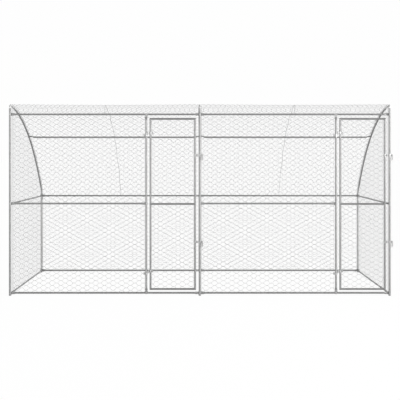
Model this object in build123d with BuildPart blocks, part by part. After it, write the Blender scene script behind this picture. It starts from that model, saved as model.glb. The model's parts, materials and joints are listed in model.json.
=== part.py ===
"""Outdoor dog kennel run: two bays of bolted galvanised tube with a curved roof, netted all round.

The origin is on the ground, under the centre of the middle front post. X runs to the right along
the front, Y runs back from the front posts to the rear posts, and Z is up. Lengths are millimetres.
"""
import os
from math import asin, cos, floor, pi, sin, sqrt

from build123d import *

# Plan and heights of the run, to tube centres
bay_width = 2000.0
run_depth = 2000.0
roof_front_height = 2010.0
roof_rear_height = 1026.0
arch_radius = 3125.0
bottom_rail_height = 27.5
mid_rail_height = 970.0
top_rail_height = 1911.0

# Tubes of the frame
post_diameter = 25.0
post_wall = 2.5
hinge_post_diameter = 21.0
hinge_post_wall = 1.5
rail_diameter = 18.0
bottom_rail_diameter = 20.0
side_rail_diameter = 16.0
rail_wall = 1.5
arch_wall = 1.5
tenon_clearance = 0.4
front_bend_radius = 30.0
rear_bend_radius = 60.0
tenon_below_bolt = 20.0
post_top_gap = 1.5

# Flattened ends of the rails, and how pieces seat on each other
seat_gap = 0.2
tongue_overhang = 12.0
tongue_reach = 30.0
flare_length = 26.0
tongue_corner_share = 0.42
side_rail_inset = 9.0
fold_overhang = 16.0
purlin_depth_share = 0.5575
purlin_overhang = 15.0

# Doors, one at the right of each bay
hinge_post_place = 1435.5
door_tube_diameter = 20.0
door_tube_wall = 1.5
hinge_gap = 44.5
latch_gap = 50.0
door_bottom = 70.0
door_mid = 966.0
door_top = 1863.0

# Strap clamps with their eyes, pins and ears
clamp_height = 25.0
clamp_thickness = 2.5
ear_gap = 3.0
ear_bolt_reach = 8.5
ear_overhang = 8.0
pin_diameter = 12.0
pin_play = 0.05
eye_wall = 3.0
eye_rise = 0.3
shelf_thickness = 7.0
pin_overhang = 3.0
upper_hinge_height = 1715.0
lower_hinge_height = 258.0

# Latch hooks on the main posts
upper_latch_height = 1479.0
lower_latch_height = 566.5
hook_thickness = 3.0
hook_width = 17.0
hook_play = 0.3
hook_sweep_gap = 0.8
keeper_play = 1.0

# Bolts and nuts
frame_bolt_diameter = 6.0
frame_bolt_play = 0.2
frame_nut_across_flats = 10.0
frame_head_height = 4.0
frame_nut_height = 5.0
clamp_bolt_diameter = 8.0
clamp_nut_across_flats = 13.0
clamp_head_height = 5.3
clamp_nut_height = 6.5
collar_wall = 2.5
thread_overhang = 2.0
thread_play = 0.1

# Plugs that close the posts and stand on the ground
plug_flange = 2.0
plug_depth = 15.0
plug_play = 0.1

# Netting: each gap of these nets stands for about seven of the real ones
net_thickness = 2.0
net_seat_gap = 0.3
net_gap_width = 135.0
net_gap_period = 244.0
net_strand = 7.0
net_border = 6.0
twist_share = 0.26
wall_net_margin = 18.0
corner_net_margin = 26.0
door_net_margin = 14.0
roof_net_margin = 14.0
roof_strips_a_bay = 2
roof_lengths = 9
net_seam_border = 3.0
roof_net_split = 0.2
purlin_notch_width = 40.0
cut_overrun = 6.0

# Directions and the three lines of posts
to_right = Vector(1, 0, 0)
to_rear = Vector(0, 1, 0)
upward = Vector(0, 0, 1)
post_lines = {"left": -bay_width, "centre": 0.0, "right": bay_width}
bay_starts = {"left": -bay_width, "right": 0.0}

# Radii and seats that follow from the sizes above
post_radius = post_diameter / 2
post_bore_radius = post_radius - post_wall
arch_tube_radius = post_bore_radius - tenon_clearance
hinge_post_radius = hinge_post_diameter / 2
rail_radius = rail_diameter / 2
bottom_rail_radius = bottom_rail_diameter / 2
door_tube_radius = door_tube_diameter / 2
tongue_thickness = 2 * rail_wall
tongue_pitch = tongue_thickness + seat_gap
rail_depth = post_radius + seat_gap + tongue_thickness + seat_gap / 2
frame_bolt_radius = frame_bolt_diameter / 2
frame_hole_radius = frame_bolt_radius + frame_bolt_play
clamp_bolt_radius = clamp_bolt_diameter / 2
collar_radius = clamp_bolt_radius + collar_wall
ear_outer = ear_gap / 2 + clamp_thickness
hook_back = post_radius + seat_gap + clamp_thickness + hook_sweep_gap
wall_net_depth = rail_depth + bottom_rail_radius + net_seat_gap

# The roof arc in the YZ plane: its centre, from the two end heights and the radius
chord = Vector(0, run_depth, roof_rear_height - roof_front_height)
chord_middle = Vector(0, run_depth / 2, (roof_front_height + roof_rear_height) / 2)
arc_sagitta_arm = sqrt(arch_radius**2 - (chord.length / 2) ** 2)
arc_centre = chord_middle - Vector(0, -chord.Z, chord.Y).normalized() * arc_sagitta_arm


def on_arc(angle, offset=0.0, x=0.0):
    """Point of the roof arc at an angle from upright towards the rear, moved outwards by offset."""
    reach = arch_radius + offset
    return Vector(x, arc_centre.Y + reach * sin(angle), arc_centre.Z + reach * cos(angle))


def outward(angle):
    """Outward direction of the roof at an angle."""
    return Vector(0, sin(angle), cos(angle))


front_bend_angle = asin((front_bend_radius - arc_centre.Y) / (arch_radius - front_bend_radius))
rear_bend_angle = asin((run_depth - rear_bend_radius - arc_centre.Y) / (arch_radius - rear_bend_radius))
front_bend_centre = on_arc(front_bend_angle, -front_bend_radius)
rear_bend_centre = on_arc(rear_bend_angle, -rear_bend_radius)
purlin_angle = asin((run_depth * purlin_depth_share - arc_centre.Y) / arch_radius)
front_post_height = front_bend_centre.Z - post_top_gap
rear_post_height = rear_bend_centre.Z - post_top_gap


def finish(piece, name):
    """Name a finished piece and write it."""
    piece.part.label = name
    export_step(piece.part, f"parts/{name}.step")


def drill(planes, radius, depth):
    """Cut round holes both ways from each plane in the part being built."""
    with BuildSketch(*planes) as holes:
        Circle(radius)
    extrude(holes.sketch, amount=depth, both=True, mode=Mode.SUBTRACT)


def across(points, direction=to_rear):
    """One plane at each point, facing the direction that a bolt runs in."""
    return [Plane(origin=point, z_dir=direction) for point in points]


def post(name, x, y, height, bolt_heights):
    """Upright tube that stands on its plug and is bolted to the rails."""
    with BuildPart() as upright:
        with BuildSketch(Plane.XY.offset(plug_flange)):
            with Locations((x, y)):
                Circle(post_radius)
                Circle(post_bore_radius, mode=Mode.SUBTRACT)
        extrude(amount=height - plug_flange)
        drill(across([(x, y, z) for z in bolt_heights]), frame_hole_radius, post_diameter)
    finish(upright, name)


def roof_arch(name, x):
    """Bent tube over the run, plugged into a front and a rear post."""
    front_end = Vector(x, 0, top_rail_height - tenon_below_bolt)
    front_turn = Vector(x, 0, front_bend_centre.Z)
    rear_turn = Vector(x, run_depth, rear_bend_centre.Z)
    rear_end = Vector(x, run_depth, mid_rail_height - tenon_below_bolt)
    with BuildPart() as arch:
        with BuildLine() as route:
            Line(front_end, front_turn)
            TangentArc(front_turn, on_arc(front_bend_angle, 0, x), tangent=upward)
            arc_angles = (front_bend_angle, (front_bend_angle + rear_bend_angle) / 2, rear_bend_angle)
            ThreePointArc(*[on_arc(angle, 0, x) for angle in arc_angles])
            TangentArc(rear_turn, on_arc(rear_bend_angle, 0, x), tangent=upward)
            Line(rear_turn, rear_end)
        with BuildSketch(Plane(origin=front_end, z_dir=upward)):
            Circle(arch_tube_radius)
            Circle(arch_tube_radius - arch_wall, mode=Mode.SUBTRACT)
        sweep(path=route.wires()[0])
        tenon_bolts = [(x, 0, top_rail_height), (x, run_depth, mid_rail_height)]
        drill(across(tenon_bolts), frame_hole_radius, post_diameter)
        drill(across([on_arc(purlin_angle, 0, x)], outward(purlin_angle)), frame_hole_radius, post_diameter)
    finish(arch, name)


def flat_height(diameter):
    """Height of a tube's end once it is pressed flat, which keeps its girth."""
    return pi * diameter / 2 - tongue_thickness / 2


def tongue(start, inward, normal, shift, diameter, overhang, hole_radius=frame_hole_radius):
    """Flattened, drilled tube end with its flare, added to the tube being built.

    start is the bolt's place on the tube's centre line, inward points along the tube, and shift moves
    the flat along its normal.
    """
    flat_plane = Plane(origin=start, x_dir=normal, z_dir=inward)
    height = flat_height(diameter)
    with BuildSketch(flat_plane.offset(tongue_reach)) as flat:
        with Locations((shift, 0)):
            Rectangle(tongue_thickness, height)
    with BuildSketch(flat_plane.offset(tongue_reach + flare_length)) as round_end:
        Circle(diameter / 2)
    loft([flat.sketch, round_end.sketch])
    with BuildSketch(Plane(origin=start + normal * shift, x_dir=inward, z_dir=normal)) as plate:
        with Locations(((tongue_reach - overhang) / 2, 0)):
            Rectangle(tongue_reach + overhang, height)
        fillet(plate.vertices().group_by(Axis(start, inward))[0], height * tongue_corner_share)
        Circle(hole_radius, mode=Mode.SUBTRACT)
    extrude(plate.sketch, amount=tongue_thickness / 2, both=True)


def straight_tube(start, direction, length, diameter, wall):
    """Plain tube length, added to the part being built."""
    with BuildSketch(Plane(origin=start, z_dir=direction)) as section:
        Circle(diameter / 2)
        Circle(diameter / 2 - wall, mode=Mode.SUBTRACT)
    extrude(section.sketch, amount=length)


def rail(name, start, along, span, normal, shifts, diameter=rail_diameter, wall=rail_wall,
         overhang=tongue_overhang, cross_holes=()):
    """Tube with a flattened, bolted tongue at each end; start is the first bolt's place."""
    end = start + along * span
    flared = tongue_reach + flare_length
    with BuildPart() as piece:
        straight_tube(start + along * flared, along, span - 2 * flared, diameter, wall)
        tongue(start, along, normal, shifts[0], diameter, overhang)
        tongue(end, along * -1, normal, shifts[1], diameter, overhang)
        if cross_holes:
            drill(across(cross_holes), frame_hole_radius, diameter)
    finish(piece, name)


def layer_face(layer):
    """Distance from a post's centre to the near face of a tongue in a bolted stack."""
    return post_radius + seat_gap + (layer - 1) * tongue_pitch


def layer_shift(layer):
    """Offset of a tongue from its rail's centre line."""
    return layer_face(layer) + tongue_thickness / 2 - rail_depth


def side_rail(name, x, side, height, diameter, layers):
    """Rail from front to rear whose flattened ends are folded behind the posts."""
    inset = x - side * side_rail_inset
    flat = flat_height(diameter)
    ends = ((0.0, to_rear, layers[0]), (run_depth, to_rear * -1, layers[1]))
    flat_run = layer_face(2) + tongue_reach
    with BuildPart() as piece:
        body_start = Vector(inset, flat_run + flare_length, height)
        straight_tube(body_start, to_rear, run_depth - 2 * (flat_run + flare_length), diameter, rail_wall)
        for post_y, inward, layer in ends:
            fold_start = Vector(inset, post_y, height) + inward * layer_face(layer)
            flat_end = Vector(inset, post_y, height) + inward * flat_run
            with BuildSketch(Plane(origin=fold_start, x_dir=to_right, z_dir=inward)) as strip:
                Rectangle(tongue_thickness, flat)
            extrude(strip.sketch, amount=flat_run - layer_face(layer))
            with BuildSketch(Plane(origin=flat_end, x_dir=to_right, z_dir=inward)) as flat_section:
                Rectangle(tongue_thickness, flat)
            flare_end = flat_end + inward * flare_length
            with BuildSketch(Plane(origin=flare_end, x_dir=to_right, z_dir=inward)) as round_section:
                Circle(diameter / 2)
            loft([flat_section.sketch, round_section.sketch])
            fold_width = side_rail_inset + fold_overhang
            bolt_point = Vector(x, post_y, height) + inward * layer_face(layer)
            with BuildSketch(Plane(origin=bolt_point, x_dir=to_right * side, z_dir=inward)) as fold:
                with Locations(((fold_overhang - side_rail_inset) / 2, 0)):
                    Rectangle(fold_width, flat)
                outer_corners = fold.vertices().group_by(Axis(bolt_point, to_right * side))[-1]
                fillet(outer_corners, flat * tongue_corner_share)
                Circle(frame_hole_radius, mode=Mode.SUBTRACT)
            extrude(fold.sketch, amount=tongue_thickness)
    finish(piece, name)


def hinge_post(name, x):
    """Thinner upright that carries a door, flattened where it laps the front rails."""
    bottom_shift = rail_depth - bottom_rail_radius - seat_gap - tongue_thickness / 2
    top_shift = rail_depth - rail_radius - seat_gap - tongue_thickness / 2
    span = top_rail_height - bottom_rail_height
    flared = tongue_reach + flare_length
    start = Vector(x, 0, bottom_rail_height)
    with BuildPart() as upright:
        straight_tube(start + upward * flared, upward, span - 2 * flared,
                      hinge_post_diameter, hinge_post_wall)
        tongue(start, upward, to_rear, bottom_shift, hinge_post_diameter, tongue_overhang)
        tongue(start + upward * span, upward * -1, to_rear, top_shift, hinge_post_diameter, tongue_overhang)
        drill(across([(x, 0, mid_rail_height)]), frame_hole_radius, hinge_post_diameter)
    finish(upright, name)


def clip_polygon(points, outline):
    """Part of a polygon inside a convex outline, both as (u, v) pairs running anticlockwise."""
    for index, corner in enumerate(outline):
        following = outline[(index + 1) % len(outline)]
        edge = (following[0] - corner[0], following[1] - corner[1])
        kept = []
        for place, point in enumerate(points):
            before = points[place - 1]
            side_before = edge[0] * (before[1] - corner[1]) - edge[1] * (before[0] - corner[0])
            side_here = edge[0] * (point[1] - corner[1]) - edge[1] * (point[0] - corner[0])
            if side_before * side_here < 0:
                part = side_before / (side_before - side_here)
                kept.append(tuple(b + (p - b) * part for b, p in zip(before, point)))
            if side_here >= 0:
                kept.append(point)
        points = kept
    return points


def polygon_area(points):
    """Area of a polygon given as (u, v) pairs."""
    return sum(a[0] * b[1] - b[0] * a[1] for a, b in zip(points[-1:] + points[:-1], points)) / 2


def net_gaps(outline, twists_upright=False, start=(0.0, 0.0)):
    """Six-sided gaps of a net, cut off at a convex outline, as lists of (u, v) pairs.

    The pattern is counted from start, so neighbouring lengths of one net can continue it.
    """
    across_half = (net_gap_width - net_strand) / 2
    shoulder = net_gap_period * twist_share / 2
    point = net_gap_period * (1 - twist_share) / 2 - net_strand / 2
    shape = [(point, 0.0), (shoulder, across_half), (-shoulder, across_half),
             (-point, 0.0), (-shoulder, -across_half), (shoulder, -across_half)]
    if twists_upright:
        shape = [(v, u) for u, v in reversed(shape)]
    pitch = (net_gap_width, net_gap_period / 2) if twists_upright else (net_gap_period / 2, net_gap_width)
    spans = []
    for axis in (0, 1):
        reached = [(corner[axis] - start[axis]) / pitch[axis] for corner in outline]
        spans.append(range(floor(min(reached)) - 1, floor(max(reached)) + 3))
    smallest = net_strand * net_gap_width / 4
    gaps = []
    for column in spans[0]:
        for row in spans[1]:
            stagger = (row % 2 / 2, 0) if twists_upright else (0, column % 2 / 2)
            u = start[0] + (column + stagger[0]) * pitch[0]
            v = start[1] + (row + stagger[1]) * pitch[1]
            gap = clip_polygon([(u + du, v + dv) for du, dv in shape], outline)
            if len(gap) > 2 and polygon_area(gap) > smallest:
                gaps.append(gap)
    return gaps


def rectangle(width, low, high, border=0.0):
    """Corners of a rectangle that starts at u zero, less a border, anticlockwise."""
    return [(border, low + border), (width - border, low + border),
            (width - border, high - border), (border, high - border)]


def holed_face(plane, edge, gaps):
    """One face of netting in a plane: its edge, and the gaps as inner wires."""
    holes = [Wire.make_polygon([plane.from_local_coords(corner) for corner in gap]) for gap in gaps]
    return Face(edge, holes)


def rectangular_net(name, plane, width, height):
    """Flat net with its lower left corner at the plane's origin."""
    edge = Wire.make_polygon([plane.from_local_coords(corner) for corner in rectangle(width, 0, height)])
    with BuildPart() as net:
        extrude(holed_face(plane, edge, net_gaps(rectangle(width, 0, height, net_border))),
                amount=net_thickness, dir=plane.z_dir)
    finish(net, name)


def side_net(name, x):
    """Net from the bottom rail up to the roof arch."""
    plane = Plane(origin=(x, 0, 0), x_dir=to_rear, z_dir=to_right)
    low, high = corner_net_margin, run_depth - corner_net_margin
    start_angle = asin((low - arc_centre.Y) / arch_radius)
    end_angle = asin((high - arc_centre.Y) / arch_radius)
    middle = on_arc((start_angle + end_angle) / 2, 0, x)
    with BuildLine() as border:
        Line((x, high, bottom_rail_height), on_arc(end_angle, 0, x))
        ThreePointArc(on_arc(end_angle, 0, x), middle, on_arc(start_angle, 0, x))
        Line(on_arc(start_angle, 0, x), (x, low, bottom_rail_height))
        Line((x, low, bottom_rail_height), (x, high, bottom_rail_height))
    steps = 2 * roof_lengths
    inner_low, inner_high = low + net_border, high - net_border
    outline = [(inner_low, bottom_rail_height + net_border), (inner_high, bottom_rail_height + net_border)]
    for step in range(steps + 1):
        y = inner_high + (inner_low - inner_high) * step / steps
        top = on_arc(asin((y - arc_centre.Y) / arch_radius))
        outline.append((y, top.Z - net_border))
    gaps = net_gaps(outline, start=outline[0])
    with BuildPart() as net:
        extrude(holed_face(plane, border.wires()[0], gaps), amount=net_thickness, dir=to_right)
    finish(net, name)


def roof_net_lengths(left, right, notched_ends):
    """Lengths of one roof strip, which follow the arches from the front top rail to the rear one."""
    span = (rear_bend_angle - front_bend_angle) / roof_lengths
    lift = rail_radius + net_seat_gap
    flat_reach = (arch_radius + lift) * (2 - cos(span / 2))
    half_length = flat_reach * sin(span / 2) - roof_net_split / 2
    fold_lift = flat_reach - arch_radius
    lengths = []
    for index in range(roof_lengths):
        middle = front_bend_angle + (index + 1 / 2) * span
        plane = Plane(origin=on_arc(middle, flat_reach * cos(span / 2) - arch_radius, left),
                      x_dir=to_right, z_dir=outward(middle))
        corners = rectangle(right - left, -half_length, half_length)
        edge = Wire.make_polygon([plane.from_local_coords(corner) for corner in corners])
        inside = rectangle(right - left, -half_length, half_length, net_seam_border)
        gaps = net_gaps(inside, twists_upright=True, start=(0, -2 * half_length * index))
        with BuildPart() as length:
            extrude(holed_face(plane, edge, gaps), amount=net_thickness, dir=plane.z_dir)
            if abs(middle - purlin_angle) < span:
                ends = [on_arc(purlin_angle, 0, end) for end in notched_ends]
                planes = [Plane(origin=end, x_dir=to_right, z_dir=outward(purlin_angle)) for end in ends]
                with BuildSketch(*planes) as notches:
                    Rectangle(2 * (tongue_reach + flare_length + cut_overrun), purlin_notch_width)
                extrude(notches.sketch, amount=post_diameter, mode=Mode.SUBTRACT)
        lengths.append(length.part.solid())
    with BuildPart() as folded_ends:
        with BuildSketch(Plane(origin=(left, 0, 0), x_dir=to_rear, z_dir=to_right)) as folds:
            end_fold(front_bend_angle, front_bend_centre, front_bend_radius, 0.0, top_rail_height,
                     fold_lift)
            end_fold(rear_bend_angle, rear_bend_centre, rear_bend_radius, run_depth, mid_rail_height,
                     fold_lift)
        extrude(folds.sketch, amount=right - left)
    return lengths + list(folded_ends.part.solids())


def roof_net(name, bay_start):
    """Netting over one bay: strips side by side, each in separate short lengths."""
    strip_width = bay_width / roof_strips_a_bay
    lengths = []
    for strip in range(roof_strips_a_bay):
        last = strip == roof_strips_a_bay - 1
        left = bay_start + strip * strip_width + (roof_net_split / 2 if strip else roof_net_margin)
        right = bay_start + (strip + 1) * strip_width - (roof_net_margin if last else roof_net_split / 2)
        lengths += roof_net_lengths(left, right, (bay_start, bay_start + bay_width))
    netting = Compound(label=name, children=lengths)
    export_step(netting, f"parts/{name}.step")


def flat_point(point):
    """A point of the YZ plane in the coordinates of a sketch that lies across the run."""
    return (point.Y, point.Z)


def end_fold(turn_angle, turn_centre, turn_radius, upright_y, rail_height, lift):
    """Profile of the netting where it turns down to a rail, added to the sketch being drawn."""
    side = 1 if upright_y > turn_centre.Y else -1
    split = side * roof_net_split / 2 / arch_radius
    centre = flat_point(turn_centre)
    level = pi / 2 if side > 0 else -pi / 2
    with BuildLine() as border:
        rims = []
        for reach in (turn_radius + lift, turn_radius + lift + net_thickness):
            points = []
            for angle in (turn_angle + split, (turn_angle + split + level) / 2, level):
                points.append((centre[0] + reach * sin(angle), centre[1] + reach * cos(angle)))
            foot = (upright_y + side * (reach - turn_radius), rail_height)
            ThreePointArc(*points)
            Line(points[-1], foot)
            rims.append((points[0], foot))
        Line(rims[0][0], rims[1][0])
        Line(rims[0][1], rims[1][1])
    make_face(border.edges())


def band(x, y, height, tube_radius, ear_side):
    """Strap clamp round an upright tube with two ears to one side, added to the part being built."""
    inner = tube_radius + seat_gap
    outer = inner + clamp_thickness
    bolt_reach = outer + ear_bolt_reach
    with BuildSketch(Plane.XY.offset(height - clamp_height / 2)) as section:
        with Locations((x, y)):
            Circle(outer)
        with Locations((x + ear_side * (bolt_reach + ear_overhang) / 2, y)):
            Rectangle(bolt_reach + ear_overhang, 2 * ear_outer)
            Rectangle(bolt_reach + ear_overhang, ear_gap, mode=Mode.SUBTRACT)
        with Locations((x, y)):
            Circle(inner, mode=Mode.SUBTRACT)
    extrude(section.sketch, amount=clamp_height)
    drill(across([(x + ear_side * bolt_reach, y, height)]), clamp_bolt_radius + seat_gap, clamp_height)


def bolt_place(tube_radius):
    """Distance from a tube's centre to the bolt of its clamp."""
    return tube_radius + seat_gap + clamp_thickness + ear_bolt_reach


def pintle_clamps(name, places):
    """Clamps on the hinge posts, each with a shelf and an upright pin."""
    half_gap = hinge_gap / 2
    shelf_radius = pin_diameter / 2 + eye_wall
    with BuildPart() as clamps:
        for x, height in places:
            band(x, 0, height, hinge_post_radius, -1)
            top = height + clamp_height / 2
            with BuildSketch(Plane.XY.offset(top - shelf_thickness)) as shelf:
                with Locations((x + half_gap, 0)):
                    Circle(shelf_radius)
                with Locations((x + half_gap / 2, 0)):
                    Rectangle(half_gap, 2 * shelf_radius)
                with Locations((x, 0)):
                    Circle(hinge_post_radius + seat_gap, mode=Mode.SUBTRACT)
            extrude(shelf.sketch, amount=shelf_thickness)
            with BuildSketch(Plane.XY.offset(top - shelf_thickness)) as pin:
                with Locations((x + half_gap, 0)):
                    Circle(pin_diameter / 2)
            extrude(pin.sketch, amount=shelf_thickness + eye_rise + clamp_height + pin_overhang)
    finish(clamps, name)


def eye_clamps(name, stile_x, heights):
    """Clamps on a door's hinge stile, each with an eye that turns on a pin."""
    half_gap = hinge_gap / 2
    bore = pin_diameter / 2 + pin_play
    with BuildPart() as clamps:
        for height in heights:
            band(stile_x, 0, height, door_tube_radius, 1)
            with BuildSketch(Plane.XY.offset(height - clamp_height / 2)) as eye:
                with Locations((stile_x - half_gap, 0)):
                    Circle(bore + eye_wall)
                with Locations((stile_x - half_gap / 2, 0)):
                    Rectangle(half_gap, 2 * clamp_thickness)
                with Locations((stile_x, 0)):
                    Circle(door_tube_radius + seat_gap, mode=Mode.SUBTRACT)
                with Locations((stile_x - half_gap, 0)):
                    Circle(bore, mode=Mode.SUBTRACT)
            extrude(eye.sketch, amount=clamp_height)
    finish(clamps, name)


def plain_clamps(name, places, tube_radius):
    """Clamps with ears to the right, for latch hooks and their keepers."""
    with BuildPart() as clamps:
        for x, height in places:
            band(x, 0, height, tube_radius, 1)
    finish(clamps, name)


def hexagon_block(planes, across_flats, amount):
    """Six-sided head or nut on each plane, added to the part being built."""
    with BuildSketch(*planes) as block:
        RegularPolygon(across_flats / 2, 6, major_radius=False)
    extrude(block.sketch, amount=amount)


def round_rod(planes, radius, amount):
    """Round rod on each plane, added to the part being built."""
    with BuildSketch(*planes) as rod:
        Circle(radius)
    extrude(rod.sketch, amount=amount)


def short_clamp_bolts(points):
    """Bolts through clamp ears from the rear, with their nuts in front, added to the part being built."""
    seats = [point + to_rear * ear_outer for point in points]
    hexagon_block(across(seats), clamp_nut_across_flats, clamp_head_height)
    grip = 2 * ear_outer + clamp_nut_height + thread_overhang
    round_rod(across(seats, to_rear * -1), clamp_bolt_radius, grip)
    before = across([point - to_rear * (ear_outer + seat_gap) for point in points], to_rear * -1)
    loose_nuts(before, clamp_nut_across_flats, clamp_nut_height, clamp_bolt_radius)


def loose_nuts(planes, across_flats, height, thread_radius):
    """Nuts on each plane, clear of the thread that they sit on, added to the part being built."""
    with BuildSketch(*planes) as nuts:
        RegularPolygon(across_flats / 2, 6, major_radius=False)
        Circle(thread_radius + thread_play, mode=Mode.SUBTRACT)
    extrude(nuts.sketch, amount=height)


def collar_bolts(points):
    """Long bolts with a collar in front of the ears, where a hook turns or catches."""
    hook_front = hook_back + hook_thickness
    head_planes = across([point - to_rear * (hook_front + hook_play) for point in points], to_rear * -1)
    hexagon_block(head_planes, clamp_nut_across_flats, clamp_head_height)
    rod_planes = across([point - to_rear * (hook_front + hook_play) for point in points])
    rear_end = ear_outer + seat_gap + clamp_nut_height + thread_overhang
    round_rod(rod_planes, clamp_bolt_radius, hook_front + hook_play + rear_end)
    collar_planes = across([point - to_rear * (hook_back - hook_play) for point in points])
    round_rod(collar_planes, collar_radius, hook_back - hook_play - ear_outer - seat_gap)
    nut_planes = across([point + to_rear * (ear_outer + seat_gap) for point in points])
    loose_nuts(nut_planes, clamp_nut_across_flats, clamp_nut_height, clamp_bolt_radius)


def latch_hook(name, x, height, reach):
    """Hook that hangs from a main post's clamp and drops over the door's keeper bolt."""
    plane = Plane(origin=(x, -hook_back, height), x_dir=to_right, z_dir=to_rear * -1)
    mouth_width = clamp_bolt_diameter + 2 * keeper_play
    with BuildPart() as hook:
        with BuildSketch(plane):
            with Locations((0, -reach / 2)):
                SlotCenterToCenter(reach, hook_width, rotation=90)
            Circle(clamp_bolt_radius + pin_play, mode=Mode.SUBTRACT)
            with Locations((0, -reach)):
                Circle(mouth_width / 2, mode=Mode.SUBTRACT)
            with Locations((hook_width / 2, -reach)):
                Rectangle(hook_width, mouth_width, mode=Mode.SUBTRACT)
        extrude(amount=hook_thickness)
    finish(hook, name)


def mitred_tube(start, end, outer_side):
    """Door tube between two corners, each end cut at 45 degrees to meet the next tube."""
    along = (end - start).normalized()
    with BuildPart() as piece:
        straight_tube(start - along * door_tube_diameter, along,
                      (end - start).length + 2 * door_tube_diameter, door_tube_diameter, door_tube_wall)
        split(bisect_by=Plane(origin=start, z_dir=along + outer_side), keep=Keep.TOP)
        split(bisect_by=Plane(origin=end, z_dir=outer_side - along), keep=Keep.TOP)
    return piece


def door_rails(name, left_x, right_x):
    """Top, middle and bottom tubes of a door, as three pieces."""
    with BuildPart() as rails:
        for height, outer_side in ((door_bottom, upward * -1), (door_top, upward)):
            start = Vector(left_x, 0, height)
            end = Vector(right_x, 0, height)
            add(mitred_tube(start, end, outer_side).part)
        straight_tube(Vector(left_x, 0, door_mid), to_right, right_x - left_x,
                      door_tube_diameter, door_tube_wall)
        with BuildSketch(Plane.XY.offset(door_mid - door_tube_diameter)) as stiles:
            with Locations((left_x, 0), (right_x, 0)):
                Circle(door_tube_radius + seat_gap)
        extrude(stiles.sketch, amount=2 * door_tube_diameter, mode=Mode.SUBTRACT)
    finish(rails, name)


os.makedirs("parts", exist_ok=True)
frame_heights = (bottom_rail_height, mid_rail_height, top_rail_height)
rear_heights = (bottom_rail_height, mid_rail_height)

# Posts, roof arches and the plugs under the posts
for line, x in post_lines.items():
    post(f"front_post_{line}", x, 0.0, front_post_height, frame_heights)
    post(f"rear_post_{line}", x, run_depth, rear_post_height, rear_heights)
    roof_arch(f"roof_arch_{line}", x)

with BuildPart() as foot_plugs:
    post_feet = [(x, y) for x in post_lines.values() for y in (0.0, run_depth)]
    with BuildSketch(Plane.XY):
        with Locations(*post_feet):
            Circle(post_radius)
    extrude(amount=plug_flange)
    with BuildSketch(Plane.XY):
        with Locations(*post_feet):
            Circle(post_bore_radius - plug_play)
    extrude(amount=plug_flange + plug_depth)
finish(foot_plugs, "foot_plugs")

# Rails of the front and rear, purlins, hinge posts and nets of each bay
layer_pairs = {"left": (1, 1), "right": (2, 1)}
for bay, start_x in bay_starts.items():
    hinge_x = start_x + hinge_post_place
    layers = layer_pairs[bay]
    shifts = [layer_shift(layer) for layer in layers]
    for level, height, diameter in (("bottom", bottom_rail_height, bottom_rail_diameter),
                                    ("top", top_rail_height, rail_diameter)):
        rail(f"front_{level}_rail_{bay}", Vector(start_x, rail_depth, height), to_right, bay_width, to_rear,
             shifts, diameter, cross_holes=[(hinge_x, rail_depth, height)])
    hinge_shift = hinge_post_radius + seat_gap + tongue_thickness / 2 - rail_depth
    rail(f"front_mid_rail_{bay}", Vector(start_x, rail_depth, mid_rail_height), to_right, hinge_post_place,
         to_rear, [layer_shift(1), hinge_shift])
    for level, height, diameter in (("bottom", bottom_rail_height, bottom_rail_diameter),
                                    ("top", mid_rail_height, rail_diameter)):
        rail(f"rear_{level}_rail_{bay}", Vector(start_x, run_depth - rail_depth, height), to_right, bay_width,
             to_rear * -1, shifts, diameter)
    purlin_seat = arch_tube_radius + seat_gap + tongue_thickness / 2
    purlin_shifts = [purlin_seat + (layer - 1) * tongue_pitch for layer in layers]
    rail(f"roof_purlin_{bay}", on_arc(purlin_angle, 0, start_x), to_right, bay_width,
         outward(purlin_angle), purlin_shifts, overhang=purlin_overhang)
    hinge_post(f"hinge_post_{bay}", hinge_x)

    left_margin = corner_net_margin if bay == "left" else wall_net_margin
    right_margin = wall_net_margin if bay == "left" else corner_net_margin
    front_plane = Plane(origin=(start_x + left_margin, wall_net_depth + net_thickness, bottom_rail_height),
                        x_dir=to_right, z_dir=to_rear * -1)
    rectangular_net(f"front_net_{bay}", front_plane, hinge_post_place - left_margin - wall_net_margin,
                    top_rail_height - bottom_rail_height)
    rear_plane = Plane(origin=(start_x + left_margin, run_depth - wall_net_depth, bottom_rail_height),
                       x_dir=to_right, z_dir=to_rear * -1)
    rectangular_net(f"rear_net_{bay}", rear_plane, bay_width - left_margin - right_margin,
                    mid_rail_height - bottom_rail_height)
    roof_net(f"roof_net_{bay}", start_x)

# Side rails and side nets
for line, side, front_mid_layer in (("left", -1, 2), ("right", 1, 1)):
    x = post_lines[line]
    side_rail(f"side_bottom_rail_{line}", x, side, bottom_rail_height, side_rail_diameter, (2, 2))
    side_rail(f"side_mid_rail_{line}", x, side, mid_rail_height, side_rail_diameter, (front_mid_layer, 2))
    net_outer = side_rail_inset + side_rail_diameter / 2 + net_seat_gap
    side_net(f"side_net_{line}", x + net_outer if side < 0 else x - net_outer - net_thickness)

# Hinges, latches and the doors
door_hinges = (lower_hinge_height, upper_hinge_height)
door_latches = {"lower": lower_latch_height, "upper": upper_latch_height}
pintle_drop = clamp_height + eye_rise
hinge_places = [(x + hinge_post_place, height - pintle_drop)
                for x in bay_starts.values() for height in door_hinges]
latch_places = [(x + bay_width, height) for x in bay_starts.values() for height in door_latches.values()]
pintle_clamps("pintle_clamps", hinge_places)
plain_clamps("latch_clamps", latch_places, post_radius)

with BuildPart() as clamp_bolts:
    short_clamp_bolts([Vector(x - bolt_place(hinge_post_radius), 0, height) for x, height in hinge_places])
    collar_bolts([Vector(x + bolt_place(post_radius), 0, height) for x, height in latch_places])
finish(clamp_bolts, "clamp_bolts")

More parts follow.
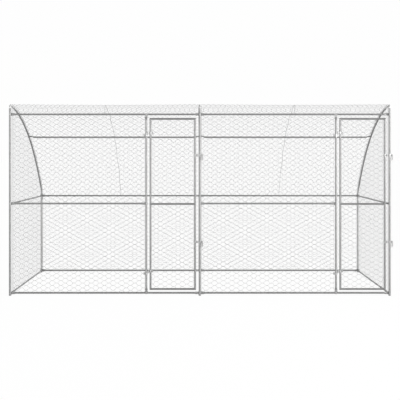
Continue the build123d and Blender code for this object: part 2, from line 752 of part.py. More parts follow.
for bay, start_x in bay_starts.items():
    hinge_stile_x = start_x + hinge_post_place + hinge_gap
    latch_stile_x = start_x + bay_width - latch_gap
    for stile, x, outer_side in (("hinge_stile", hinge_stile_x, to_right * -1),
                                 ("latch_stile", latch_stile_x, to_right)):
        upright = mitred_tube(Vector(x, 0, door_bottom), Vector(x, 0, door_top), outer_side)
        finish(upright, f"{bay}_door_{stile}")
    door_rails(f"{bay}_door_rails", hinge_stile_x, latch_stile_x)
    door_net_depth = door_tube_radius + net_seat_gap
    door_plane = Plane(origin=(hinge_stile_x + door_net_margin, door_net_depth + net_thickness, door_bottom),
                       x_dir=to_right, z_dir=to_rear * -1)
    rectangular_net(f"{bay}_door_net", door_plane, latch_stile_x - hinge_stile_x - 2 * door_net_margin,
                    door_top - door_bottom)
    eye_clamps(f"{bay}_door_eye_clamps", hinge_stile_x, door_hinges)
    keeper_places = [(latch_stile_x, height) for height in door_latches.values()]
    plain_clamps(f"{bay}_door_keeper_clamps", keeper_places, door_tube_radius)
    hinge_bolt_x = hinge_stile_x + bolt_place(door_tube_radius)
    keeper_x = latch_stile_x + bolt_place(door_tube_radius)
    with BuildPart() as door_bolts:
        short_clamp_bolts([Vector(hinge_bolt_x, 0, height) for height in door_hinges])
        collar_bolts([Vector(keeper_x, 0, height) for height in door_latches.values()])
    finish(door_bolts, f"{bay}_door_bolts")
    pivot_x = start_x + bay_width + bolt_place(post_radius)
    for level, height in door_latches.items():
        latch_hook(f"{bay}_{level}_latch_hook", pivot_x, height, pivot_x - keeper_x)

# Bolts and nuts of the frame, each stack with as many tongues as meet there
front_layers = {"left": (2, 2, 1), "centre": (2, 1, 2), "right": (2, 1, 1)}
bolt_sets = []
for line, x in post_lines.items():
    for height, layers in zip(frame_heights, front_layers[line]):
        bolt_sets.append((Vector(x, 0, height), to_rear, post_radius + seat_gap, layer_face(layers + 1)))
    for height in rear_heights:
        bolt_sets.append((Vector(x, run_depth, height), to_rear * -1, post_radius + seat_gap, layer_face(3)))
    purlin_layers = 2 if line == "centre" else 1
    purlin_stack = arch_tube_radius + seat_gap + purlin_layers * tongue_pitch
    bolt_sets.append((on_arc(purlin_angle, 0, x), outward(purlin_angle) * -1, purlin_stack,
                      arch_tube_radius + seat_gap))
for start_x in bay_starts.values():
    hinge_x = start_x + hinge_post_place
    hinge_back = hinge_post_radius + seat_gap
    bolt_sets.append((Vector(hinge_x, 0, mid_rail_height), to_rear, hinge_back, hinge_back + tongue_pitch))
    for height, radius in ((bottom_rail_height, bottom_rail_radius), (top_rail_height, rail_radius)):
        bolt_sets.append((Vector(hinge_x, rail_depth, height), to_rear, radius + seat_gap + tongue_pitch,
                          radius + seat_gap))

with BuildPart() as frame_bolts:
    for middle, direction, head_seat, nut_seat in bolt_sets:
        head_point = middle - direction * head_seat
        hexagon_block(across([head_point], direction * -1), frame_nut_across_flats, frame_head_height)
        grip = head_seat + nut_seat + frame_nut_height + thread_overhang
        round_rod(across([head_point], direction), frame_bolt_radius, grip)
finish(frame_bolts, "frame_bolts")

with BuildPart() as frame_nuts:
    for middle, direction, head_seat, nut_seat in bolt_sets:
        nut_plane = across([middle + direction * nut_seat], direction)
        loose_nuts(nut_plane, frame_nut_across_flats, frame_nut_height, frame_bolt_radius)
finish(frame_nuts, "frame_nuts")
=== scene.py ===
"""Looks of an outdoor dog kennel run: galvanised tube, six-sided wire netting and zinc hardware.

Lengths are metres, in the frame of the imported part: X to the right along the front, Y back from the
front posts, Z up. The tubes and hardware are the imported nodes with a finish. The plain nets are
replaced by netting at its real size, and the netting's ties and the doors' weld beads are added.
"""
import json
from math import acos, asin, ceil, cos, pi, radians, sin, sqrt

import bpy
from mathutils import Matrix, Vector


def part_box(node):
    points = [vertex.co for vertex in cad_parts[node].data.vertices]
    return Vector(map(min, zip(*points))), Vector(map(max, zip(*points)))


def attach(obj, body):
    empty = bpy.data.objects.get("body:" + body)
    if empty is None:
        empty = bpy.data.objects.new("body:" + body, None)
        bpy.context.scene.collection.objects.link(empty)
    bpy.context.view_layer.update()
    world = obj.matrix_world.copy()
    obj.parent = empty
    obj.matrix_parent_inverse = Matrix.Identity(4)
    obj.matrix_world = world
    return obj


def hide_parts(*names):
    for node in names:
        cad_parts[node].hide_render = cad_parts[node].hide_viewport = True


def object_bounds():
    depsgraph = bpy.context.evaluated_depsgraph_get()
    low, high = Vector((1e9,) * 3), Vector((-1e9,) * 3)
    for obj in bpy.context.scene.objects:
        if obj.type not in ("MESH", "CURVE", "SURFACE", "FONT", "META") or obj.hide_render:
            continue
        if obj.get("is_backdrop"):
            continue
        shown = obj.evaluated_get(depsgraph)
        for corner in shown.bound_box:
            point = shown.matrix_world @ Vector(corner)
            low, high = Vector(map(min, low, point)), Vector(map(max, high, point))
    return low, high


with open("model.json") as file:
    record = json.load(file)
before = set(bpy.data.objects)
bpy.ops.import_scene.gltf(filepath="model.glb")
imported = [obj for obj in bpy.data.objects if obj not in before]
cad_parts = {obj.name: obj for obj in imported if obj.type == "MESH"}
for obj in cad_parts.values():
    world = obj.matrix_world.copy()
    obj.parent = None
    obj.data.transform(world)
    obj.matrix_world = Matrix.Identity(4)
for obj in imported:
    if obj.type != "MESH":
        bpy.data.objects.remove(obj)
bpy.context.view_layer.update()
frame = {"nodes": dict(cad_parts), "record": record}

# The run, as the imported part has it
bay_width = 2.0
run_depth = 2.0
roof_front_height = 2.010
roof_rear_height = 1.026
arch_radius = 3.125
arch_tube_radius = 0.0096
front_bend_radius = 0.030
rear_bend_radius = 0.060
purlin_depth_share = 0.5575
top_rail_height = 1.911
mid_rail_height = 0.970
bottom_rail_height = 0.0275
rail_depth = 0.0158
rail_radius = 0.009
bottom_rail_radius = 0.010
side_rail_radius = 0.008
side_rail_inset = 0.009
hinge_post_place = 1.4355
door_tube_radius = 0.010
door_heights = (0.070, 0.966, 1.863)
door_stiles = {"left": (-0.520, -0.050), "right": (1.480, 1.950)}
bays = {"left": -bay_width, "right": 0.0}
front_rails = ((bottom_rail_height, bottom_rail_radius), (mid_rail_height, rail_radius),
               (top_rail_height, rail_radius))
rear_rails = front_rails[:2]

# Netting with two inch gaps, its wires twisted together by one and a half turns; the reach of a
# twist is a share of its wire's radius
gap_across = 0.0508
gap_along = 0.0919
twist_length = 0.022
twist_turns = 1.5
twist_steps = 5
twist_reach_share = 1.05
front_wire_radius = 0.00086
side_wire_radius = 0.00062
roof_wire_radius = 0.00070
border_radius = 0.0009
merge_distance = roof_wire_radius / 20
net_centre_gap = 0.0013
side_net_steps = 14

# Strips of netting on the roof, and how far they sag and stray between what holds them
roof_net_lift = 0.0106
roof_net_margin = 0.014
roof_strip_width = 1.0
roof_border_steps = 60
seam_half_gap = 0.0011
roof_sag = 0.012
roof_stray = 0.005
roof_stray_length = 0.45

# Ties round a tube and a border wire; a tail's points are shares of its way out, aside and up
tie_radius = 0.0008
tie_play = 0.0003
tie_spacing = 0.30
tie_skip = 0.12
foot_skip = 0.19
tube_turn_steps = 8
wire_turn_steps = 2
same_reach_digits = 5
arch_ties = 8
arch_tie_step = 0.02
tie_tail = 0.008
tail_shares = ((0, 0, 0), (1, 0.4, 0.5), (0.5, -0.3, 1))

# Door netting and weld beads
door_net_margin = 0.014
bead_radius = 0.0014
bead_steps = 20

# Grain of the finishes: noise in cycles per metre with its detail, and the depth of the relief
bloom_grain = (9.0, 4.0)
marks_grain = (260.0, 2.0)
wire_runs_grain = (38.0, 3.0)
wire_lumps_grain = (700.0, 1.0)
scuffs_grain = (60.0, 5.0)
moulding_grain = (1400.0, 1.0)
zinc_relief_depth = 0.0004
fine_relief_depth = 0.0003

# How much the grain of zinc, wire and plastic changes shade, roughness and relief
crystal_shade = 0.45
bloom_shade = 0.45
marks_shade = 0.1
bloom_dullness = 0.16
crystal_gloss = 0.07
crystal_relief = 0.4
marks_relief = 0.6
wire_metallic = 0.7
wire_roughness = 0.38
wire_runs_dullness = 0.2
wire_bump = 0.3
plastic_roughness = 0.5
scuffs_dullness = 0.2
plastic_bump = 0.25

# Painted highlights: a paler base colour where bends and flattened ends catch the light: start height, end
# height, share
painted_highlight_grey = 0.86
arch_bend_highlights = ((1.965, 1.985, 1.0), (1.130, 1.020, 0.35))
hinge_post_end_highlights = ((1.852, 1.866, 0.25),)

# Light, floor and camera; the edges of walls and skylight are heights on a unit sphere
wall_light = 1.85
wall_edge = 0.1
ceiling_light = 0.12
ceiling_edge = 0.6
skylight_edge = 0.85
sideways_light = 0.5
seen_white = 0.991
lamp_size = 3.0
lamp_target = (0, 1, 0.9)
lamps = {"key_light": ((7.0, -5.0, 2.0), 260), "fill_light": ((-7.0, -6.0, 2.5), 60)}
floor_half_width = 300.0
floor_drop = 0.0005
floor_grey = 0.9
floor_glow = 1.03
shadow_share = 0.07
mirrored_share = 0.3
camera_place = (0.0014, -10.03, 1.476)
camera_lens = 85.65
camera_shift_y = -0.111

to_right = Vector((1, 0, 0))
to_rear = Vector((0, 1, 0))
upward = Vector((0, 0, 1))


class Signal:
    """A value in a material's node tree; arithmetic on it adds Math nodes."""

    def __init__(self, finish, socket):
        self.finish = finish
        self.socket = socket

    def math(self, operation, first, second):
        return self.finish.node("ShaderNodeMath", {"operation": operation}, {0: first, 1: second})

    def __add__(self, other):
        return self.math("ADD", self, other)

    def __sub__(self, other):
        return self.math("SUBTRACT", self, other)

    def __mul__(self, other):
        return self.math("MULTIPLY", self, other)

    def __radd__(self, other):
        return self.math("ADD", other, self)

    def __rsub__(self, other):
        return self.math("SUBTRACT", other, self)


class Finish:
    """A material or world that is being built from nodes."""

    def __init__(self, owner):
        self.owner = owner
        owner.use_nodes = True
        self.tree = owner.node_tree
        nodes = self.tree.nodes
        self.shader = next(node for node in nodes if node.type in ("BSDF_PRINCIPLED", "BACKGROUND"))
        self.output = next(node for node in nodes if node.type.startswith("OUTPUT"))

    def node(self, kind, settings=None, sockets=None, output=0):
        """Add a node, set it up, fill its sockets and return one output as a Signal."""
        made = self.tree.nodes.new(kind)
        for name, value in (settings or {}).items():
            setattr(made, name, value)
        for name, value in (sockets or {}).items():
            self.fill(made.inputs[name], value)
        return Signal(self, made.outputs[output])

    def fill(self, socket, value):
        """Link a Signal to a socket, or set a constant on it."""
        if isinstance(value, Signal):
            self.tree.links.new(value.socket, socket)
        else:
            socket.default_value = value

    def set(self, **sockets):
        """Fill sockets of the main shader, named with underscores."""
        for name, value in sockets.items():
            self.fill(self.shader.inputs[name.replace("_", " ")], value)

    def place(self):
        """The point on the object, in metres."""
        return self.node("ShaderNodeTexCoord", output="Object")

    def noise(self, grain, place):
        """Soft noise between 0 and 1."""
        scale, detail = grain
        sockets = {"Vector": place, "Scale": scale, "Detail": detail}
        return self.node("ShaderNodeTexNoise", sockets=sockets, output="Fac")

    def blend(self, factor, dark, pale):
        """A colour between two; a plain number is a grey."""
        dark, pale = (tone if isinstance(tone, Signal) else (tone, tone, tone, 1) for tone in (dark, pale))
        return self.node("ShaderNodeMix", {"data_type": "RGBA"}, {0: factor, 6: dark, 7: pale}, output=2)

    def ramp(self, value, start, end, low=0.0, high=1.0):
        """Smooth change from low to high, as another value goes from start to end."""
        sockets = {"Value": value, "From Min": start, "From Max": end, "To Min": low, "To Max": high}
        return self.node("ShaderNodeMapRange", {"interpolation_type": "SMOOTHSTEP"}, sockets)

    def relief(self, height, strength, depth):
        """Bumps in the surface, from a height between 0 and 1."""
        sockets = {"Height": height, "Strength": strength, "Distance": depth}
        self.set(Normal=self.node("ShaderNodeBump", sockets=sockets))


def zinc_finish(name, dark, pale, roughness, crystal_size, metallic, bump, painted_highlights=()):
    """Galvanised steel: zinc crystals, a dull bloom in patches and fine handling marks, with painted
    highlights between given heights.
    """
    finish = Finish(bpy.data.materials.new(name))
    place = finish.place()
    crystals = finish.node("ShaderNodeTexVoronoi", sockets={"Vector": place, "Scale": 1 / crystal_size},
                           output="Color")
    crystal = finish.node("ShaderNodeSeparateColor", sockets={"Color": crystals})
    bloom = finish.noise(bloom_grain, place)
    marks = finish.noise(marks_grain, place)
    shade = crystal * crystal_shade + bloom * bloom_shade + marks * marks_shade
    colour = finish.blend(shade, dark, pale)
    # Painted highlights: the base colour is blended towards a pale grey between given heights, where bends
    # catch the light
    if painted_highlights:
        level = finish.node("ShaderNodeSeparateXYZ", sockets={"Vector": place}, output="Z")
        for start, end, share in painted_highlights:
            colour = finish.blend(finish.ramp(level, start, end, high=share), colour, painted_highlight_grey)
    finish.set(Base_Color=colour, Metallic=metallic,
               Roughness=roughness + bloom * bloom_dullness - crystal * crystal_gloss)
    finish.relief(crystal * crystal_relief + marks * marks_relief, bump, zinc_relief_depth)
    return finish.owner


def wire_finish(name, dark, pale):
    """Zinc-dipped netting wire: duller runs between brighter ones."""
    finish = Finish(bpy.data.materials.new(name))
    place = finish.place()
    runs = finish.noise(wire_runs_grain, place)
    lumps = finish.noise(wire_lumps_grain, place)
    finish.set(Base_Color=finish.blend(runs, dark, pale), Metallic=wire_metallic,
               Roughness=wire_roughness + runs * wire_runs_dullness)
    finish.relief(lumps, wire_bump, fine_relief_depth)
    return finish.owner


def plastic_finish(name, dark, pale):
    """Moulded plastic with a fine texture and scuffs."""
    finish = Finish(bpy.data.materials.new(name))
    place = finish.place()
    scuffs = finish.noise(scuffs_grain, place)
    moulding = finish.noise(moulding_grain, place)
    finish.set(Base_Color=finish.blend(scuffs, dark, pale),
               Roughness=plastic_roughness + scuffs * scuffs_dullness)
    finish.relief(moulding, plastic_bump, fine_relief_depth)
    return finish.owner


frame_zinc = {"roughness": 0.40, "crystal_size": 0.011, "metallic": 0.75, "bump": 0.25}
door_zinc = {"roughness": 0.36, "crystal_size": 0.009, "metallic": 0.75, "bump": 0.2}
plate_zinc = {"roughness": 0.30, "crystal_size": 0.004, "metallic": 0.8, "bump": 0.15}
bolt_zinc = {"roughness": 0.28, "crystal_size": 0.003, "metallic": 0.85, "bump": 0.15}
weld_zinc = {"roughness": 0.5, "crystal_size": 0.003, "metallic": 0.7, "bump": 0.9}
finishes = {
    "frame_tube": zinc_finish("galvanised_tube", 0.28, 0.42, **frame_zinc),
    # The rear posts get a paler copy of the frame tube finish: painted light, since they are the same tube
    # as the front posts
    "rear_post": zinc_finish("galvanised_rear_tube_painted_light", 0.46, 0.64, **frame_zinc),
    # The arch tubes carry painted highlights at their front and rear bends
    "roof_arch": zinc_finish("galvanised_arch_tube_painted_highlight", 0.28, 0.42, painted_highlights=arch_bend_highlights, **frame_zinc),
    # The hinge posts carry a faint painted highlight at their flattened end near the top
    "hinge_post": zinc_finish("galvanised_hinge_tube_painted_highlight", 0.28, 0.42, painted_highlights=hinge_post_end_highlights, **frame_zinc),
    "door_tube": zinc_finish("galvanised_door_tube", 0.25, 0.37, **door_zinc),
    "zinc_hardware": zinc_finish("zinc_plate", 0.42, 0.56, **plate_zinc),
    "zinc_fastener": zinc_finish("zinc_bolts", 0.44, 0.58, **bolt_zinc),
    "foot_plastic": plastic_finish("plug_plastic", 0.22, 0.32),
    "netting_wire": wire_finish("netting_zinc", 0.25, 0.41),
    "weld": zinc_finish("weld_zinc", 0.30, 0.42, **weld_zinc),
}


def choose(piece):
    """Select one piece alone and make it the active one."""
    for other in bpy.context.selected_objects:
        other.select_set(False)
    piece.select_set(True)
    bpy.context.view_layer.objects.active = piece


def wire(points, radius, closed=False, around=0, capped=True):
    """Round wire along straight runs between points, as a mesh piece; around adds pairs of sides."""
    curve = bpy.data.curves.new("wire", "CURVE")
    curve.dimensions = "3D"
    curve.twist_mode = "Z_UP"
    curve.bevel_depth = radius
    curve.bevel_resolution = around
    curve.use_fill_caps = capped and not closed
    spline = curve.splines.new("POLY")
    spline.points.add(len(points) - 1)
    for corner, point in zip(spline.points, points):
        corner.co = (*point, 1)
    spline.use_cyclic_u = closed
    piece = bpy.data.objects.new("wire", curve)
    bpy.context.scene.collection.objects.link(piece)
    choose(piece)
    bpy.ops.object.convert(target="MESH")
    return bpy.context.view_layer.objects.active


def join(pieces):
    """Join pieces into the first one."""
    choose(pieces[0])
    for piece in pieces:
        piece.select_set(True)
    bpy.ops.object.join()
    return pieces[0]


def copy_at(piece, matrix):
    """A copy of a piece with its own mesh, placed by a matrix."""
    twin = bpy.data.objects.new(piece.name, piece.data.copy())
    twin.data.transform(matrix)
    bpy.context.scene.collection.objects.link(twin)
    return twin


def array(piece, count, step):
    """Repeat a piece in a row."""
    choose(piece)
    row = piece.modifiers.new("row", "ARRAY")
    row.count = count
    row.use_relative_offset = False
    row.use_constant_offset = True
    row.constant_offset_displace = step
    bpy.ops.object.modifier_apply(modifier=row.name)


def finish_piece(piece, name, body, slot, replaced=(), finish=None):
    """Name a piece, shade it, dress it and let it ride on its body."""
    piece.name = name
    piece.data.name = name
    piece.data.materials.clear()
    piece.data.materials.append(finishes[finish or slot])
    choose(piece)
    bpy.ops.object.shade_smooth()
    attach(piece, body)
    if replaced:
        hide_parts(*replaced)


def netting_gap(radius):
    """One twist of two wires with the half runs that leave it, and its neighbour half a gap on."""
    reach = twist_reach_share * radius
    wires = []
    for side in (-1, 1):
        points = [Vector((side * gap_across / 4, -gap_along / 4, 0))]
        for step in range(twist_steps + 1):
            share = step / twist_steps
            turn = (pi if side < 0 else 0) + 2 * pi * twist_turns * share
            points.append(Vector((reach * cos(turn), (share - 0.5) * twist_length, reach * sin(turn))))
        points.append(Vector((-side * gap_across / 4, gap_along / 4, 0)))
        wires.append(points)
    pieces = []
    for shift in (Vector((0, 0, 0)), Vector((gap_across / 2, gap_along / 2, 0))):
        for points in wires:
            pieces.append(wire([point + shift for point in points], radius, capped=False))
    return join(pieces)


def edge_planes(outline):
    """Planes through the sides of a convex outline in the XY plane, given in turn to the left."""
    planes = []
    for start, end in zip(outline, outline[1:] + outline[:1]):
        side = Vector((end[0] - start[0], end[1] - start[1], 0)).normalized()
        planes.append(((start[0], start[1], 0), (side.y, -side.x, 0)))
    return planes


def flat_netting(outline, radius):
    """Netting in the XY plane, its twists along Y, cut off at a convex outline from the origin."""
    width, length = (max(point[axis] for point in outline) for axis in (0, 1))
    piece = netting_gap(radius)
    array(piece, ceil(width / gap_across) + 1, (gap_across, 0, 0))
    array(piece, ceil(length / gap_along) + 1, (0, gap_along, 0))
    bpy.ops.object.mode_set(mode="EDIT")
    bpy.ops.mesh.select_all(action="SELECT")
    bpy.ops.mesh.remove_doubles(threshold=merge_distance)
    for point, normal in edge_planes(outline):
        bpy.ops.mesh.select_all(action="SELECT")
        bpy.ops.mesh.bisect(plane_co=point, plane_no=normal, clear_outer=True)
    bpy.ops.mesh.select_all(action="SELECT")
    bpy.ops.mesh.fill_holes(sides=0)
    bpy.ops.mesh.select_all(action="SELECT")
    bpy.ops.mesh.normals_make_consistent(inside=False)
    bpy.ops.object.mode_set(mode="OBJECT")
    return piece


def panel(node, body, outline, placed, seam, radius):
    """A flat net with its border wire, and a seam wire if it has one, in place of a packed net."""
    pieces = [flat_netting(outline, radius)]
    pieces.append(wire([Vector((*point, 0)) for point in outline], border_radius, closed=True, around=1))
    if seam:
        length = max(point[1] for point in outline)
        pieces.append(wire([Vector((seam, 0, 0)), Vector((seam, length, 0))], border_radius, around=1))
    net = join(pieces)
    net.data.transform(placed)
    finish_piece(net, f"{node}_wire", body, "netting_wire", [node])


def basis(across, along, start):
    """Matrix that puts X on one direction, Y on another and the origin at a point."""
    normal = across.cross(along)
    matrix = Matrix((across, along, normal)).transposed().to_4x4()
    matrix.translation = start
    return matrix


# Netting of the front, the rear and the doors: twists lie level, so a net's length runs along X
flat_nets = [(f"{wall}_net_{bay}", "frame") for wall in ("front", "rear") for bay in bays]
flat_nets += [(f"{bay}_door_net", f"{bay}_door") for bay in bays]
for node, body in flat_nets:
    low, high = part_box(node)
    length = high.x - low.x
    height = high.z - low.z
    middle = Vector((low.x, (low.y + high.y) / 2, low.z))
    outline = [(0, 0), (height, 0), (height, length), (0, length)]
    if body != "frame":
        seam = door_heights[1] - low.z
    else:
        seam = mid_rail_height - low.z if node.startswith("front") else None
    radius = roof_wire_radius if node.startswith("rear") else front_wire_radius
    panel(node, body, outline, basis(upward, to_right, middle), seam, radius)

# The roof arc: its centre from the two end heights and the radius
chord = Vector((0, run_depth, roof_rear_height - roof_front_height))
chord_middle = Vector((0, run_depth / 2, (roof_front_height + roof_rear_height) / 2))
sagitta_arm = sqrt(arch_radius**2 - (chord.length / 2) ** 2)
arc_centre = chord_middle - Vector((0, -chord.z, chord.y)).normalized() * sagitta_arm
front_bend_angle = asin((front_bend_radius - arc_centre.y) / (arch_radius - front_bend_radius))
rear_bend_angle = asin((run_depth - rear_bend_radius - arc_centre.y) / (arch_radius - rear_bend_radius))
purlin_angle = asin((run_depth * purlin_depth_share - arc_centre.y) / arch_radius)


def outward(angle):
    """Outward direction of the roof at an angle from upright."""
    return Vector((0, sin(angle), cos(angle)))


def on_arc(angle, lift=0.0):
    """Point of the roof arc, moved outwards by a lift."""
    return arc_centre + outward(angle) * (arch_radius + lift)


def straight_stretch(length, foot, direction, facing):
    """A straight stretch of the roof's netting: its length, and point and outward direction on the way."""
    return length, lambda distance: (foot + direction * distance, facing)


def round_stretch(centre, radius, start, end):
    """A stretch of the roof's netting round a centre, from a start angle to an end angle."""
    reach = radius + roof_net_lift
    length = (end - start) * reach

    def follow(distance):
        angle = start + (end - start) * distance / length
        return centre + outward(angle) * reach, outward(angle)

    return length, follow


# The roof's netting from the front top rail, over the arches, down to the rear top rail
front_bend_centre = on_arc(front_bend_angle, -front_bend_radius)
rear_bend_centre = on_arc(rear_bend_angle, -rear_bend_radius)
front_foot = Vector((0, -roof_net_lift, top_rail_height))
rear_top = Vector((0, run_depth + roof_net_lift, rear_bend_centre.z))
roof_stretches = [
    straight_stretch(front_bend_centre.z - top_rail_height, front_foot, upward, -to_rear),
    round_stretch(front_bend_centre, front_bend_radius, -pi / 2, front_bend_angle),
    round_stretch(arc_centre, arch_radius, front_bend_angle, rear_bend_angle),
    round_stretch(rear_bend_centre, rear_bend_radius, rear_bend_angle, pi / 2),
    straight_stretch(rear_bend_centre.z - mid_rail_height, rear_top, -upward, to_rear),
]
roof_length = sum(length for length, follow in roof_stretches)
purlin_distance = (roof_stretches[0][0] + roof_stretches[1][0]
                   + (purlin_angle - front_bend_angle) * (arch_radius + roof_net_lift))


def roof_point(distance):
    """Point and outward direction at a distance along the roof's netting."""
    for length, follow in roof_stretches[:-1]:
        if distance <= length:
            return follow(distance)
        distance -= length
    return roof_stretches[-1][1](distance)


def slack(x, distance):
    """How far the netting strays sideways and sinks between the arches, the rails and the purlin."""
    start, end = (0, purlin_distance) if distance < purlin_distance else (purlin_distance, roof_length)
    between_rails = sin(pi * (distance - start) / (end - start))
    between_arches = abs(sin(pi * x / bay_width))
    stray = roof_stray * sin(2 * pi * distance / roof_stray_length + x) * between_arches
    return stray * between_rails, roof_sag * between_arches * sqrt(between_rails)


def follow_roof(piece, left):
    """Lay a flat piece, whose length is along Y, over the arches."""
    for corner in piece.data.vertices:
        distance = min(max(corner.co.y, 0), roof_length)
        point, facing = roof_point(distance)
        stray, sag = slack(left + corner.co.x, distance)
        corner.co = Vector((left + corner.co.x + stray, 0, 0)) + point + facing * (corner.co.z - sag)


def roof_border(width):
    """Border wire of one roof strip, still flat, with points close enough to bend round the arches."""
    stations = [roof_length * step / roof_border_steps for step in range(roof_border_steps + 1)]
    points = [Vector((0, y, 0)) for y in stations] + [Vector((width, y, 0)) for y in reversed(stations)]
    return wire(points, border_radius, closed=True, around=1)


# Netting of the roof in strips one metre wide, twists from front to back
for bay, start in bays.items():
    for strip, place in enumerate(("outer", "inner") if bay == "left" else ("inner", "outer")):
        left = start + strip * roof_strip_width + (seam_half_gap if strip else roof_net_margin)
        right = start + (strip + 1) * roof_strip_width - (roof_net_margin if strip else seam_half_gap)
        width = right - left
        outline = [(0, 0), (width, 0), (width, roof_length), (0, roof_length)]
        net = join([flat_netting(outline, roof_wire_radius), roof_border(width)])
        follow_roof(net, left)
        finish_piece(net, f"roof_net_{bay}_{place}", "frame", "netting_wire", [f"roof_net_{bay}"])

# Netting of the sides under the arches, twists level
for bay in bays:
    node = f"side_net_{bay}"
    low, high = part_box(node)
    edge = []
    for step in range(side_net_steps + 1):
        y = low.y + (high.y - low.y) * step / side_net_steps
        top = on_arc(asin((y - arc_centre.y) / arch_radius))
        edge.append((top.z - low.z - border_radius, y - low.y))
    outline = [(0, 0)] + edge + [(0, high.y - low.y)]
    middle = Vector(((low.x + high.x) / 2, low.y, low.z))
    panel(node, "frame", outline, basis(upward, to_rear, middle), mid_rail_height - low.z, side_wire_radius)


def belt(tube_radius, distance):
    """Tie wire round a tube and a border wire that lies a distance along X, with its twisted tail."""
    tube_reach = tube_radius + tie_radius + tie_play
    wire_reach = border_radius + tie_radius + tie_play
    lean = acos((tube_reach - wire_reach) / distance)
    points = []
    for step in range(tube_turn_steps + 1):
        turn = lean + (2 * pi - 2 * lean) * step / tube_turn_steps
        points.append(Vector((tube_reach * cos(turn), tube_reach * sin(turn), 0)))
    for step in range(wire_turn_steps + 1):
        turn = -lean + 2 * lean * step / wire_turn_steps
        points.append(Vector((distance + wire_reach * cos(turn), wire_reach * sin(turn), 0)))
    tail = [Vector((distance + wire_reach + tie_radius * out, wire_reach * aside, tie_tail * up))
            for out, aside, up in tail_shares]
    return join([wire(points, tie_radius, closed=True), wire(tail, tie_radius)])


def ties(name, body, spots):
    """Ties of one body; a spot has the tube's centre, direction and radius, and the way to the border."""
    belts = {}
    copies = []
    for place, along, tube_radius, shift in spots:
        size = (tube_radius, round(shift.length, same_reach_digits))
        if size not in belts:
            belts[size] = belt(tube_radius, shift.length)
        across = shift.normalized()
        copies.append(copy_at(belts[size], basis(across, along.cross(across), place)))
    for single in belts.values():
        bpy.data.objects.remove(single)
    finish_piece(join(copies), name, body, "netting_wire")


def straight_spots(start, end, tube_radius, shift, skip=tie_skip):
    """Evenly spread spots for ties along a straight tube."""
    along = (end - start).normalized()
    length = (end - start).length - 2 * skip
    count = max(2, round(length / tie_spacing) + 1)
    return [(start + along * (skip + length * step / (count - 1)), along, tube_radius, shift)
            for step in range(count)]


def level_spots(x_start, x_end, y, z, tube_radius, shift, skip=tie_skip):
    """Spots for ties along a level tube of the front or the rear."""
    return straight_spots(Vector((x_start, y, z)), Vector((x_end, y, z)), tube_radius, shift, skip)


# Ties of the netting to the rails, the purlins and the arches
net_reach = bottom_rail_radius + net_centre_gap
foot_reach = rail_depth + roof_net_lift
side_net_reach = side_rail_radius + net_centre_gap
purlin_place = on_arc(purlin_angle)
rear_y = run_depth - rail_depth
for bay, start in bays.items():
    hinge_x = start + hinge_post_place
    end = start + bay_width
    spots = []
    for height, radius in front_rails:
        spots += level_spots(start, hinge_x, rail_depth, height, radius, to_rear * net_reach)
    for height, radius in rear_rails:
        spots += level_spots(start, end, rear_y, height, radius, to_rear * -net_reach)
    spots += level_spots(start, end, rail_depth, top_rail_height, rail_radius,
                         to_rear * -foot_reach, foot_skip)
    spots += level_spots(start, end, rear_y, mid_rail_height, rail_radius,
                         to_rear * foot_reach, foot_skip)
    spots += level_spots(start, end, purlin_place.y, purlin_place.z, rail_radius,
                         outward(purlin_angle) * roof_net_lift)
    side = -1 if start < 0 else 1
    rail_x = side * (bay_width - side_rail_inset)
    for height in (bottom_rail_height, mid_rail_height):
        spots += straight_spots(Vector((rail_x, 0, height)), Vector((rail_x, run_depth, height)),
                                side_rail_radius, to_right * -side * side_net_reach)
    side_shift = to_right * -side * (side_rail_inset + side_net_reach)
    for step in range(arch_ties):
        angle = front_bend_angle + (rear_bend_angle - front_bend_angle) * ((step + 0.5) / arch_ties)
        along = Vector((0, cos(angle), -sin(angle)))
        for x, inward in ((start, 1), (end, -1)):
            shift = to_right * inward * roof_net_margin + outward(angle) * roof_net_lift
            spots.append((on_arc(angle) + to_right * x, along, arch_tube_radius, shift))
        side_place = on_arc(angle + arch_tie_step) + to_right * side * bay_width
        spots.append((side_place, along, arch_tube_radius, side_shift))
    ties(f"netting_ties_{bay}", "frame", spots)

# Ties of the door netting, and the weld beads of the door tubes
door_net_reach = door_tube_radius + net_centre_gap
low_height, mid_height, high_height = door_heights
turns = [2 * pi * step / bead_steps for step in range(bead_steps)]
for bay, stiles in door_stiles.items():
    spots = []
    for height in door_heights:
        spots += level_spots(*stiles, 0, height, door_tube_radius, to_rear * door_net_reach)
    beads = []
    for x, side in zip(stiles, (-1, 1)):
        shift = to_rear * door_net_reach - to_right * side * door_net_margin
        spots += straight_spots(Vector((x, 0, low_height)), Vector((x, 0, high_height)),
                                door_tube_radius, shift)
        for height, level in ((low_height, -1), (high_height, 1)):
            beads.append([Vector((x + side * door_tube_radius * cos(turn), door_tube_radius * sin(turn),
                                  height + level * door_tube_radius * cos(turn))) for turn in turns])
        beads.append([Vector((x - side * door_tube_radius * abs(cos(turn)), door_tube_radius * sin(turn),
                              mid_height + door_tube_radius * cos(turn))) for turn in turns])
    ties(f"{bay}_door_ties", f"{bay}_door", spots)
    welds = join([wire(points, bead_radius, closed=True, around=1) for points in beads])
    finish_piece(welds, f"{bay}_door_welds", f"{bay}_door", "door_tube", finish="weld")


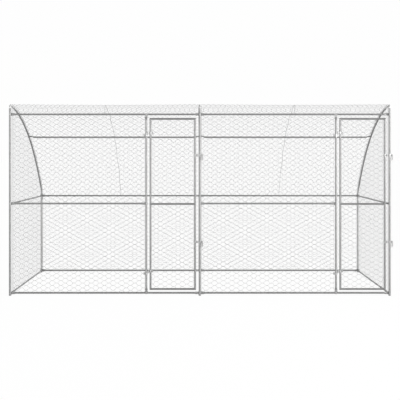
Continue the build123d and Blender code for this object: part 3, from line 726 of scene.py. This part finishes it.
def floor_finish(name, grey):
    """Pale matt surface that the camera sees as white, and that still takes shadows."""
    finish = Finish(bpy.data.materials.new(name))
    seen = finish.node("ShaderNodeLightPath", output="Is Camera Ray")
    mirrored = finish.node("ShaderNodeLightPath", output="Is Glossy Ray")
    matt = finish.node("ShaderNodeBsdfDiffuse", sockets={"Color": (grey, grey, grey, 1)})
    white = finish.node("ShaderNodeEmission", sockets={"Color": (1, 1, 1, 1), "Strength": floor_glow})
    share = seen * (1 - shadow_share) + mirrored * mirrored_share
    mixed = finish.node("ShaderNodeMixShader", sockets={0: share, 1: matt, 2: white})
    finish.fill(finish.output.inputs["Surface"], mixed)
    return finish.owner


bpy.ops.mesh.primitive_plane_add(size=2 * floor_half_width, location=(0, 0, -floor_drop))
floor = bpy.context.object
floor.name = "floor"
floor.data.materials.append(floor_finish("pale_floor", floor_grey))
floor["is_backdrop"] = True

# A white studio with bright walls, brighter on the right, and a dim ceiling with a skylight
studio = Finish(bpy.data.worlds.new("studio"))
bpy.context.scene.world = studio.owner
seen = studio.node("ShaderNodeLightPath", output="Is Camera Ray")
toward = studio.node("ShaderNodeTexCoord", output="Generated")
height = studio.node("ShaderNodeSeparateXYZ", sockets={"Vector": toward}, output="Z")
sideways = studio.node("ShaderNodeSeparateXYZ", sockets={"Vector": toward}, output="X")
walls = studio.ramp(height, wall_edge, ceiling_edge, wall_light, ceiling_light)
skylight = studio.ramp(height, skylight_edge, 1.0)
light = walls + skylight + sideways * sideways_light
studio.set(Color=(1, 1, 1, 1), Strength=seen * seen_white + (1 - seen) * light)

# Soft square lamps that the camera doesn't see
for name, (place, watts) in lamps.items():
    bpy.ops.object.light_add(type="AREA", location=place)
    lamp = bpy.context.object
    lamp.name = name
    lamp.data.size = lamp_size
    lamp.data.energy = watts
    lamp.visible_camera = False
    lamp.rotation_euler = (Vector(lamp_target) - Vector(place)).to_track_quat("-Z", "Y").to_euler()

camera_data = bpy.data.cameras.new("camera")
camera = bpy.data.objects.new("camera", camera_data)
bpy.context.scene.collection.objects.link(camera)
camera.location = camera_place
camera.rotation_euler = (radians(90), 0, 0)
camera_data.lens = camera_lens
camera_data.shift_y = camera_shift_y
bpy.context.scene.camera = camera
bpy.context.scene.view_settings.view_transform = "Standard"

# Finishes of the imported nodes: a kind of tube that has its own, or else the slot's
for subpart in frame["record"]["subparts"]:
    node = subpart["node"]
    kind = node.rsplit("_", 1)[0]
    dressed = frame["nodes"][node]
    dressed.data.materials.clear()
    dressed.data.materials.append(finishes[kind if kind in finishes else subpart["material_slot"]])

low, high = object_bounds()
